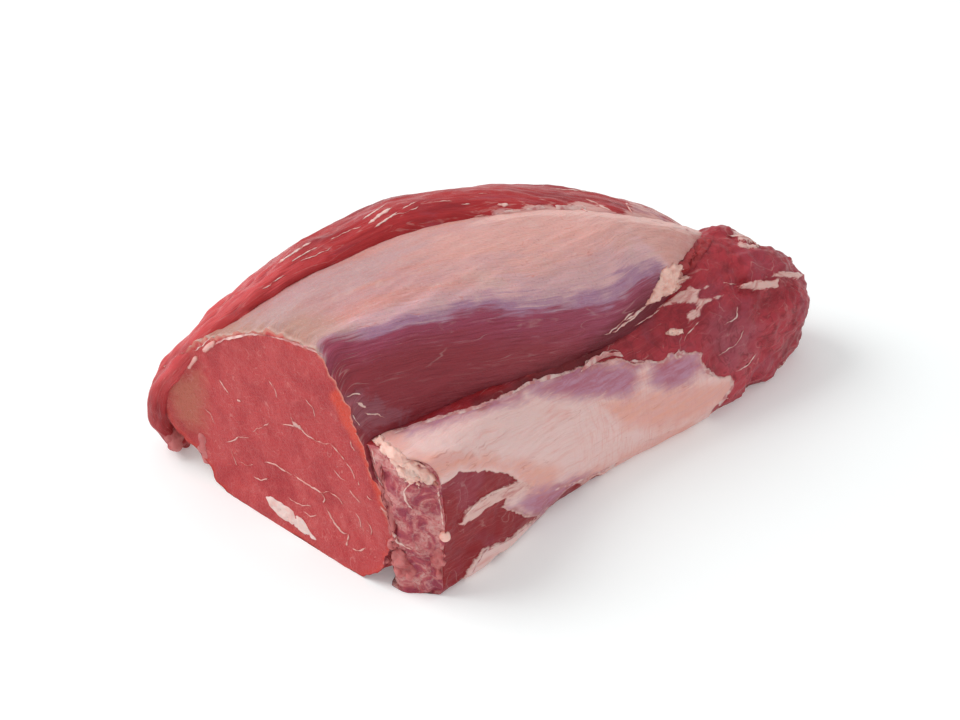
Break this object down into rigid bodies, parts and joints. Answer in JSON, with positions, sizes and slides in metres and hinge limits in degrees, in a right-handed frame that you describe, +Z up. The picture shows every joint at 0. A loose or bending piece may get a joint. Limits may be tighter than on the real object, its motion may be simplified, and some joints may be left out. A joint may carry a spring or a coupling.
{
  "type": "beef tenderloin butt",
  "caption": "Raw thick end of a beef tenderloin: a long main muscle cut square across the grain, with a side strap and a wing grown onto it, resting flat.",
  "frame": {"origin": "on the surface it rests on, under the middle of the object's box", "axes": "+X along the grain from the cut face to the rounded far end, +Y towards the strap, +Z up"},
  "size_m": [0.2098, 0.1351, 0.0803],
  "materials": {
    "raw_beef": "moist raw beef with silverskin and fat"
  },
  "bodies": {
    "root": {"tenderloin_butt": "raw_beef"}
  },
  "joints": []
}
